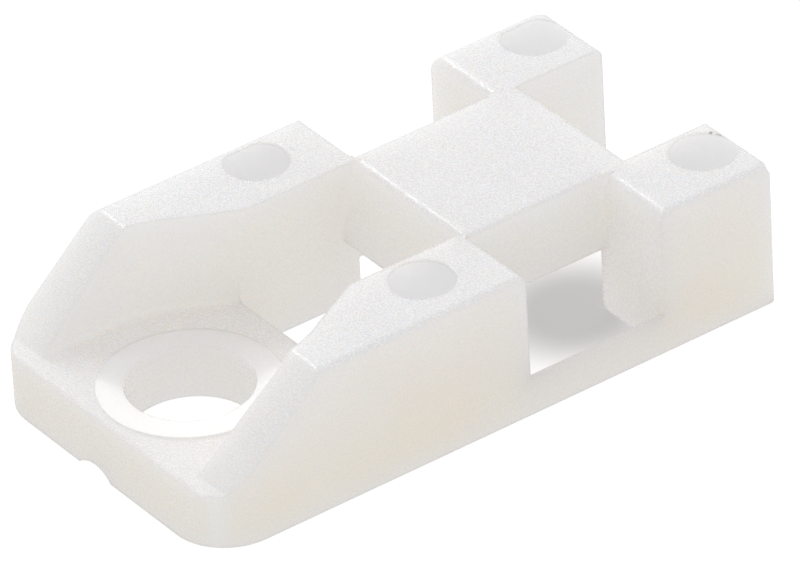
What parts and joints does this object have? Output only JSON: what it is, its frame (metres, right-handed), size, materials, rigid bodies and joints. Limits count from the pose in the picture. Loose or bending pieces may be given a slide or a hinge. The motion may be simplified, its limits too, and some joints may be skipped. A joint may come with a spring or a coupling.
{
  "type": "cable tie mount",
  "caption": "Screw-down nylon mount with a recessed screw seat and a bridge that holds a cable tie passed beneath it.",
  "frame": {"origin": "on the axis of the screw hole, at the mounting face", "axes": "+X from the screw seat to the rear posts, +Y across the mount, +Z away from the panel that it is screwed to"},
  "size_m": [0.029, 0.016, 0.0068],
  "materials": {
    "nylon": "fine moulded texture, slightly translucent milky white nylon"
  },
  "bodies": {
    "root": {"mount_body": "nylon"}
  },
  "joints": []
}
